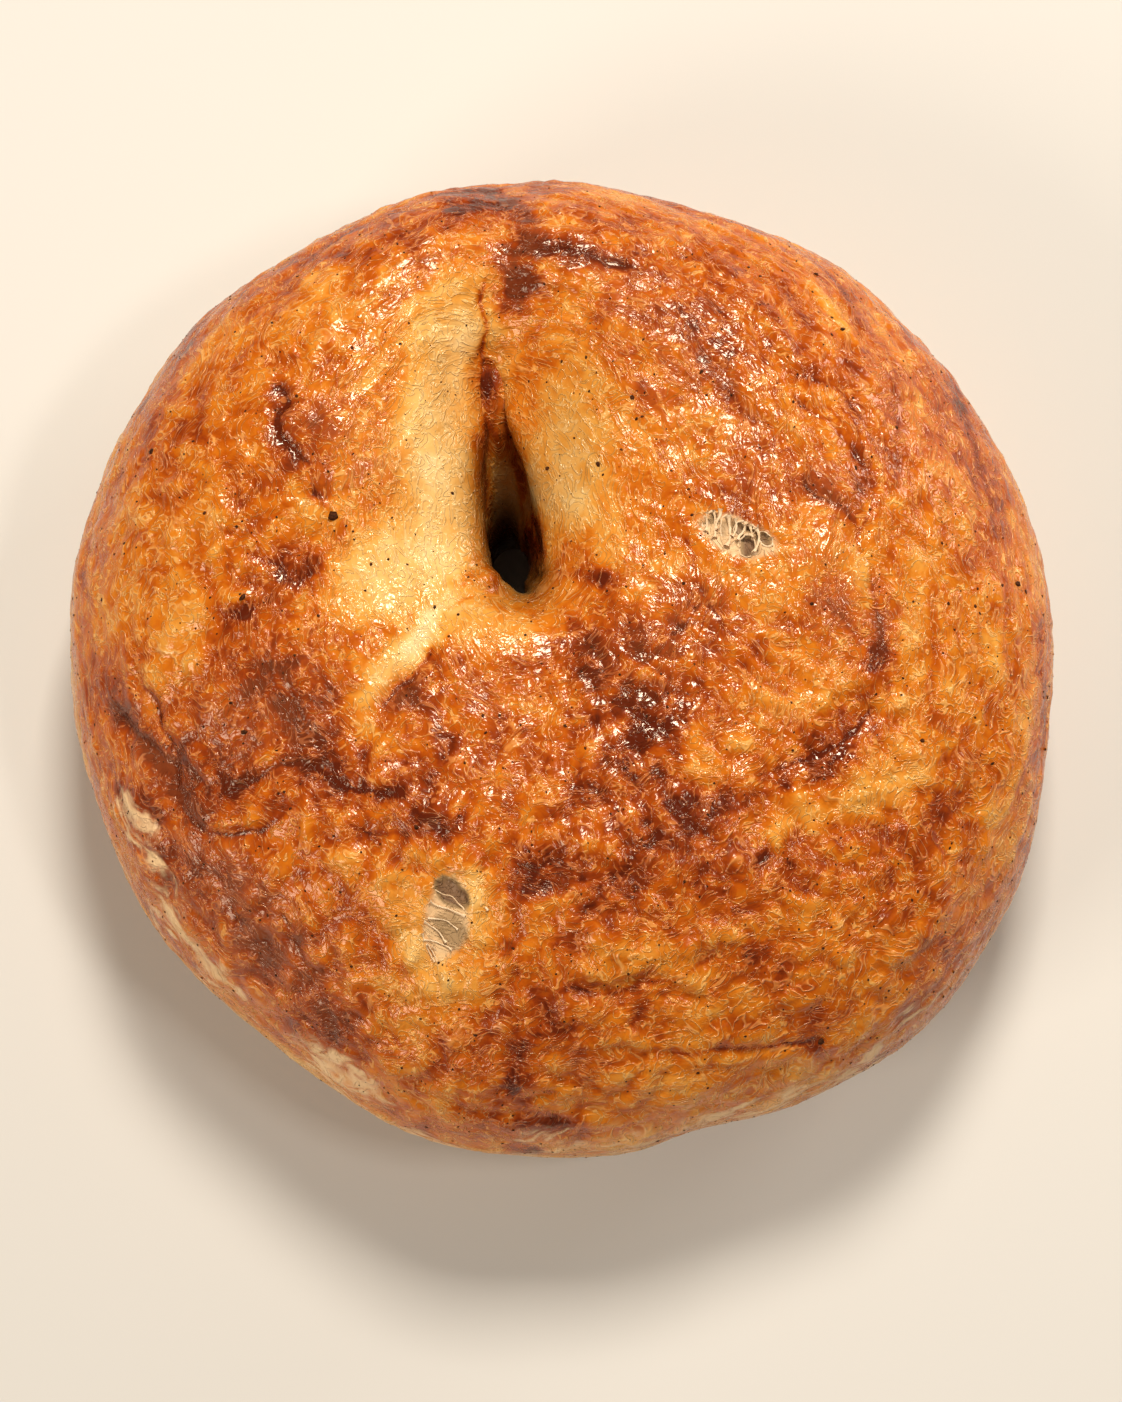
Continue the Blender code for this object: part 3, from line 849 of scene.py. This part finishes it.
BAKE_COLOURS = (
    (0.00, (0.83, 0.57, 0.25)),
    (0.16, (0.77, 0.43, 0.125)),
    (0.34, (0.70, 0.285, 0.040)),
    (0.52, (0.58, 0.152, 0.006)),
    (0.68, (0.43, 0.074, 0.001)),
    (0.84, (0.25, 0.030, 0.001)),
    (1.00, (0.09, 0.009, 0.001)),
)
TORN_DOUGH = (0.80, 0.51, 0.25)
# Pale lines along the crinkles' ridges: partly paler skin, partly painted highlight
RIDGE_AND_HIGHLIGHT = (0.84, 0.53, 0.22)
SCALD = (0.38, 0.090, 0.024)
HEEL = (0.50, 0.24, 0.075)
WEB = (0.68, 0.43, 0.21)
# The open cells of the bubbles, browner the deeper they are: partly their own crumb, partly painted shade
CAVE_PALE = (0.28, 0.16, 0.065)
CAVE_BROWN_AND_SHADE = (0.20, 0.10, 0.045)
# The colour of painted shade in the slot, the hole and the shaded patches
PAINTED_SHADE_COLOUR = (0.050, 0.012, 0.002)
SPECK_COLOURS = ((0.026, 0.008, 0.002), (0.09, 0.024, 0.006))
STRAND_COLOURS = ((0.70, 0.47, 0.26), (0.78, 0.57, 0.35))

# The crust's noises: size in millimetres, detail, roughness and distortion
MOTTLE = (2.4, 3.0, 0.60, 0.6)
BLOTCH = (6.5, 3.0, 0.55, 0.8)
DRAWN = (1.7, 2.0, 0.55, 0.4)
STROKE = (1.3, 1.0, 0.5, 1.2)
CURL = (1.7, 1.0, 0.5, 1.6)
BEADS = (1.15, 1.0, 0.5, 0.8)
MIDDLE = 0.5  # of a noise
# How far two of them are squeezed along the grain, which draws their features out
DRAWN_SQUEEZE = 0.28
STROKE_SQUEEZE = 0.40


def crust_finish():
    """Baked crust: mottled by how far it is baked, with painted shade, and fine crinkles that glint, their
    ridges painted paler, partly as highlight.
    """
    crust = Finish("baked_crust")
    place = crust.place()
    grain = crust.field("grain", "Vector")
    level, taut = crust.field("level"), crust.field("taut")
    torn, hollow = crust.field("torn"), crust.field("hollow")

    mottle = crust.noise(place, *MOTTLE)
    drawn = crust.noise(crust.stretched(grain, DRAWN_SQUEEZE, DRAWN_SQUEEZE, 1.0), *DRAWN)
    beads = crust.noise(place, *BEADS)
    mottling, drawing = mottle - MIDDLE, drawn - MIDDLE
    blotching = crust.noise(place, *BLOTCH) - MIDDLE
    # a stroke is a line where a noise crosses its middle value
    strokes = crust.noise(crust.stretched(grain, STROKE_SQUEEZE, STROKE_SQUEEZE, 1.0), *STROKE)
    stroke = abs(strokes - MIDDLE).rising(0.065, 0.0)
    curl = abs(crust.noise(place, *CURL) - MIDDLE).rising(0.060, 0.0)
    ridges = stroke * mottle.rising(0.42, 0.60) * 0.8 + curl * mottle.rising(0.60, 0.42) * 0.8

    strong = (level * 1.2 + 0.25).at_most(1.1)
    depth = mottling * 0.60 + blotching * 0.38 + drawing * (0.06 + taut * 0.44) - ridges * 0.20
    # a thin dark line along each crease: painted shade in the fold
    beside_crease = abs(crust.field("crease_across") + mottling * 0.8)
    line = beside_crease.rising(0.40, 0.06) * crust.field("crease_dark")
    depth = level + depth * strong + line * 0.28

    baked_and_painted_light = crust.node("ShaderNodeValToRGB", {"stops": BAKE_COLOURS}, "Color", Fac=depth)
    scalded = crust.field("scalded") * mottle.rising(0.30, 0.62)
    baked_and_painted_light = crust.mixed(baked_and_painted_light, SCALD, scalded * 0.5)
    # pale ridges, partly painted highlight
    baked_and_painted_light = crust.mixed(baked_and_painted_light, RIDGE_AND_HIGHLIGHT, ridges * (0.42 - 0.40 * depth).at_least(0.0))
    ragged = (torn * (1.0 + mottling * 2.0 + drawing * 4.0)).rising(0.35, 1.05)
    marbled = (0.66 + drawing * 2.2 + mottling * 1.2).at_least(0.1).at_most(0.95)
    baked_and_painted_light = crust.mixed(baked_and_painted_light, TORN_DOUGH, ragged * marbled)
    web = (crust.field("web") + mottling * 0.9 + ridges * 0.15).rising(0.15, 0.85)
    baked_and_painted_light = crust.mixed(baked_and_painted_light, WEB, web * 0.9)
    # the cells turn browner the deeper they are, partly as painted shade
    cave = crust.mixed(CAVE_PALE, CAVE_BROWN_AND_SHADE, (hollow + mottling * 0.4).rising(0.50, 0.95))
    baked_and_painted_light = crust.mixed(baked_and_painted_light, cave, hollow.rising(0.05, 0.55))
    baked_and_painted_light = crust.mixed(baked_and_painted_light, HEEL, crust.field("heel") * 0.8)
    # painted shade in the slot, the hole and on the banks
    baked_and_painted_light = crust.mixed(baked_and_painted_light, PAINTED_SHADE_COLOUR, crust.field("painted_shade"))

    gloss = (crust.field("gloss") + blotching * 0.8).at_least(0.0).at_most(1.0)
    wrinkles = ridges * 0.12 + mottle * (0.28 - gloss * 0.14)
    wrinkles = wrinkles + drawn * (0.04 + taut * 0.40) + beads * (0.04 + gloss * 0.12)
    return crust.surface(
        Base_Color=baked_and_painted_light,
        Roughness=0.22 - gloss * 0.12 + ragged * 0.2 + web * 0.3,
        Specular_IOR_Level=0.45,
        Specular_Tint=(1.0, 0.84, 0.64, 1.0),
        Normal=crust.bump(wrinkles),
    )


def plain_finish(name, colours, size_mm, roughness):
    """A simple mottled finish for small pieces."""
    finish = Finish(name)
    spots = finish.noise(finish.place(), size_mm, 3.0, 0.6)
    return finish.surface(
        Base_Color=finish.mixed(*colours, spots.rising(0.35, 0.7)),
        Roughness=roughness - 0.15 * spots,
        Specular_IOR_Level=0.08,
        Normal=finish.bump(spots * 0.05),
    )


# Pieces


def new_piece(name, points, faces, material):
    mesh = bpy.data.meshes.new(name)
    mesh.from_pydata(points.tolist(), [], faces.tolist())
    mesh.materials.append(material)
    mesh.shade_smooth()
    piece = bpy.data.objects.new(name, mesh)
    bpy.context.scene.collection.objects.link(piece)
    return piece


def joined(shapes):
    """The points and faces of one mesh, from shapes that are each (points, faces)."""
    starts = np.cumsum([0] + [len(points) for points, _ in shapes])
    all_faces = [faces + start for (_, faces), start in zip(shapes, starts)]
    return np.concatenate([points for points, _ in shapes]), np.concatenate(all_faces)


def make_crust(skin):
    ring_count = len(skin.points)
    ring, step = np.meshgrid(np.arange(ring_count), np.arange(AROUND), indexing="ij")
    below, beside = (ring + 1) % ring_count, (step + 1) % AROUND
    corners = [(ring, step), (below, step), (below, beside), (ring, beside)]
    faces = np.stack([a * AROUND + b for a, b in corners], -1).reshape(-1, 4)
    crust = new_piece("crust", skin.points.reshape(-1, 3), faces, crust_finish())
    mesh = crust.data
    for name, values in skin.fields.items():
        field = mesh.attributes.new(name, "FLOAT", "POINT")
        field.data.foreach_set("value", values.ravel().astype(np.float32))
    field = mesh.attributes.new("grain", "FLOAT_VECTOR", "POINT")
    field.data.foreach_set("vector", skin.grain.ravel().astype(np.float32))

    down = skin.section.mean(1)
    down /= down[-1]
    sheet = [(step, ring), (step, ring + 1), (step + 1, ring + 1), (step + 1, ring)]
    flat = np.stack([np.stack([a / AROUND, down[b]], -1) for a, b in sheet], 2)
    layer = mesh.uv_layers.new(name="OFBake")
    layer.data.foreach_set("uv", flat.ravel().astype(np.float32))
    return crust


class Ground:
    """Finds the crust's surface under a place on the chart."""

    NEIGHBOURS = 6
    CLOSEST = 0.05  # millimetres, added to each distance so that no weight is endless

    def __init__(self, skin, points):
        visible = skin.facing.ravel() > 0.05
        self.points = points.reshape(-1, 3)[visible]
        self.normals = skin.normal.reshape(-1, 3)[visible]
        x, y = skin.true_x.ravel()[visible], skin.true_y.ravel()[visible]
        self.tree = KDTree(len(x))
        for index, place in enumerate(zip(x, y)):
            self.tree.insert((*place, 0), index)
        self.tree.balance()

    def under(self, x, y):
        found = self.tree.find_n((x, y, 0), self.NEIGHBOURS)
        near = [index for _, index, _ in found]
        weights = np.array([1 / (away + self.CLOSEST) ** 2 for _, _, away in found])
        weights /= weights.sum()
        normal = weights @ self.normals[near]
        return weights @ self.points[near], normal / np.linalg.norm(normal)


SPECK_SEED = 11
SPECK_SIZES = ((0.08, 0.14, 1300), (0.14, 0.20, 700), (0.20, 0.28, 90))  # half-widths in mm, and how many
LARGE_SPECKS = (  # chart place and half-width, in mm
    (-25.9, 17.5, 0.72), (-46.7, 24.9, 0.55), (52.0, 9.9, 0.6), (29.6, -42.3, 0.5), (31.9, 38.6, 0.42),
    (4.2, 23.4, 0.42), (-35.9, -7.0, 0.38), (-36.1, 8.2, 0.45), (8.0, 31.0, 0.3), (29.0, 45.0, 0.42),
    (16.0, 34.0, 0.3), (33.5, 23.0, 0.32), (38.0, 27.5, 0.34), (-52.0, 8.0, 0.3), (41.0, -8.0, 0.3),
)
SPECK_FLATNESS = 0.45
ANY_TURN = 6.28


def make_specks(skin, ground):
    """Scorched grains set into the crust, all in one mesh."""
    rng = np.random.default_rng(SPECK_SEED)
    ball = bmesh.new()
    bmesh.ops.create_icosphere(ball, subdivisions=1, radius=1.0)
    ball_points = np.array([vertex.co for vertex in ball.verts])
    ball_faces = np.array([[vertex.index for vertex in face.verts] for face in ball.faces])
    ball.free()

    points, normals = skin.points.reshape(-1, 3), skin.normal.reshape(-1, 3)
    down, along = (np.roll(skin.points, -1, axis) - skin.points for axis in (0, 1))
    area = np.linalg.norm(np.cross(down, along), axis=-1)
    chance = (area * (skin.height_mm > 5) * (skin.fields["hollow"] < 0.2)).ravel()
    chance /= chance.sum()
    spots = []
    for low, high, count in SPECK_SIZES:
        for index in rng.choice(len(points), count, replace=False, p=chance):
            spots.append((points[index], normals[index], rng.uniform(low, high) * MM))
    for x, y, size in LARGE_SPECKS:
        spots.append((*ground.under(x, y), size * MM))

    grains = []
    for point, normal, size in spots:
        turn = Matrix.Rotation(rng.uniform(0, ANY_TURN), 3, "Z")
        turn = Vector(normal).to_track_quat("Z", "Y").to_matrix() @ turn
        scale = np.array((rng.uniform(0.75, 1.25), rng.uniform(0.6, 1.0), SPECK_FLATNESS))
        rough = rng.uniform(0.75, 1.15, (len(ball_points), 1))
        shape = (ball_points * scale * rough * size) @ np.array(turn).T
        grains.append((shape + point, ball_faces))
    finish = plain_finish("scorched_grain", SPECK_COLOURS, 0.3, 0.8)
    return new_piece("specks", *joined(grains), finish)


def tube(path, radii, sides=6):
    """A tube along the path, as points and quads, open at both ends."""
    path = np.array(path)
    ways = np.gradient(path, axis=0)
    ways /= np.linalg.norm(ways, axis=1, keepdims=True)
    angles = np.arange(sides) * math.tau / sides
    points, faces = [], []
    for centre, way, radius in zip(path, ways, radii):
        one = np.cross(way, (0.3, 0.5, 0.8))
        one /= np.linalg.norm(one)
        two = np.cross(way, one)
        points.append(centre + radius * (np.cos(angles)[:, None] * one + np.sin(angles)[:, None] * two))
    for ring in range(len(path) - 1):
        for side in range(sides):
            here, beside = ring * sides + side, ring * sides + (side + 1) % sides
            faces.append((here, beside, beside + sides, here + sides))
    return np.concatenate(points), np.array(faces)


# Threads of dough over the bubbles: half-thickness, depth below the crust, and places on the chart, in mm
STRANDS = (
    (0.11, 0.15, ((16.6, 18.1), (16.5, 17.0), (16.3, 15.8))),
    (0.14, 0.10, ((18.2, 18.4), (17.7, 16.8), (17.6, 15.9), (17.3, 15.0))),
    (0.10, 0.15, ((17.5, 18.4), (17.6, 17.2), (17.8, 16.0))),
    (0.15, 0.05, ((19.1, 17.6), (19.2, 16.4), (19.2, 15.3), (18.8, 14.1))),
    (0.12, 0.15, ((19.8, 17.3), (19.8, 16.2), (19.5, 15.2))),
    (0.14, 0.10, ((21.0, 16.8), (20.9, 16.2), (20.4, 15.5), (20.1, 14.6))),
    (0.10, 0.15, ((21.3, 16.6), (21.6, 15.6), (21.8, 15.0))),
    (0.15, 0.05, ((22.1, 16.3), (22.4, 15.3), (22.3, 14.3), (22.0, 13.3))),
    (0.09, 0.10, ((24.0, 15.2), (24.1, 14.2), (23.9, 13.4))),
    (0.10, 0.18, ((-15.0, -26.3), (-14.2, -26.8), (-13.0, -27.2), (-10.9, -28.0))),
    (0.06, 0.22, ((-15.1, -28.2), (-13.3, -28.5), (-12.6, -28.9), (-11.7, -29.5))),
    (0.08, 0.20, ((-15.6, -28.6), (-14.7, -29.2), (-13.8, -30.0), (-13.1, -31.0))),
    (0.07, 0.14, ((-15.6, -30.7), (-14.4, -30.9), (-13.6, -31.2), (-12.4, -31.8))),
    (0.05, 0.45, ((-14.5, -25.0), (-13.4, -25.6), (-12.4, -25.9), (-11.0, -27.3))),
    (0.07, 0.05, ((-10.9, -24.4), (-10.2, -25.2), (-9.4, -26.1), (-8.3, -27.3))),
    (0.06, 0.10, ((-15.2, -31.2), (-14.7, -32.0), (-14.0, -33.2))),
    (0.06, 0.10, ((-15.8, -29.9), (-15.3, -31.6), (-14.4, -33.2))),
    (0.05, 0.12, ((-14.7, -31.4), (-13.9, -32.2), (-13.0, -33.2))),
)
STRAND_SEED = 5
SAG = 0.20  # millimetres that a thread hangs lower in its middle
# The lip round each small cell, in millimetres
CELL_LIP = 0.07
CELL_LIP_DEPTH = 0.22
CELL_LIP_POINTS = 19


def make_strands(ground):
    """Threads of dough left across the torn bubbles, and the lips of the small cells between them."""
    rng = np.random.default_rng(STRAND_SEED)
    runs = [(half, sink, smooth_path(places, 5)) for half, sink, places in STRANDS]
    turns = np.linspace(0, math.tau, CELL_LIP_POINTS)[:, None]
    for cell in SMALL_CELLS:
        along, across = patch_axes(cell)
        oval = np.array((cell.x, cell.y)) + np.cos(turns) * along * cell.long
        runs.append((CELL_LIP, CELL_LIP_DEPTH, oval + np.sin(turns) * across * cell.wide))
    threads = []
    for half, sink, places in runs:
        share = np.linspace(-1, 1, len(places))
        radii = half * (1 + 1.6 * np.abs(share) ** 5 + rng.uniform(-0.15, 0.25, len(places))) * MM
        path = []
        for place, step in zip(places, share):
            point, normal = ground.under(*place)
            path.append(point - normal * (sink + SAG * (1 - step**2)) * MM)
        threads.append(tube(path, radii))
    finish = plain_finish("torn_strands", STRAND_COLOURS, 0.8, 0.5)
    return new_piece("dough_strands", *joined(threads), finish)


# Floor and light

FLOOR_HALF = 1.2
FLOOR_COLOUR = (0.62, 0.57, 0.50, 1.0)
FLOOR_ROUGHNESS = 0.8
# name, where it stands, its width and height, its power in watts, its colour
LIGHTS = (
    ("key", (0.06, 0.46, 0.68), 0.20, 0.20, 6.8, (1.0, 0.97, 0.92)),
    ("window", (0.62, 0.46, 0.26), 0.30, 0.20, 2.4, (1.0, 0.97, 0.93)),
    ("side", (0.38, -0.06, 0.78), 0.15, 0.08, 1.4, (1.0, 0.98, 0.96)),
    ("fill", (-0.54, -0.38, 0.46), 0.30, 0.30, 3.2, (1.0, 0.94, 0.86)),
)
SKY = (1.0, 0.95, 0.87, 1.0)
SKY_STRENGTH = 0.14


def place_stage():
    half = FLOOR_HALF
    points = np.array(((-half, -half, 0), (half, -half, 0), (half, half, 0), (-half, half, 0)))
    matte = Finish("floor").surface(Base_Color=FLOOR_COLOUR, Roughness=FLOOR_ROUGHNESS)
    floor = new_piece("floor", points, np.array(((0, 1, 2, 3),)), matte)
    for name, where, width, height, power, colour in LIGHTS:
        lamp = bpy.data.lights.new(name, "AREA")
        lamp.shape = "RECTANGLE"
        lamp.size = width
        lamp.size_y = height
        lamp.energy = power
        lamp.color = colour
        light = bpy.data.objects.new(name, lamp)
        light.location = where
        light.rotation_euler = Vector(where).to_track_quat("Z", "Y").to_euler()
        bpy.context.scene.collection.objects.link(light)
    world = bpy.data.worlds.new("studio")
    world.use_nodes = True
    sky = world.node_tree.nodes["Background"]
    sky.inputs["Color"].default_value = SKY
    sky.inputs["Strength"].default_value = SKY_STRENGTH
    bpy.context.scene.world = world
    bpy.context.scene.view_settings.view_transform = "Standard"


place_camera()
skin = Skin()
smooth_ground = Ground(skin, skin.form)
crust_ground = Ground(skin, skin.points)

crust = make_crust(skin)
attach(crust, "root")
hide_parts("bagel")

specks = make_specks(skin, crust_ground)
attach(specks, "root")

strands = make_strands(smooth_ground)
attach(strands, "root")

place_stage()
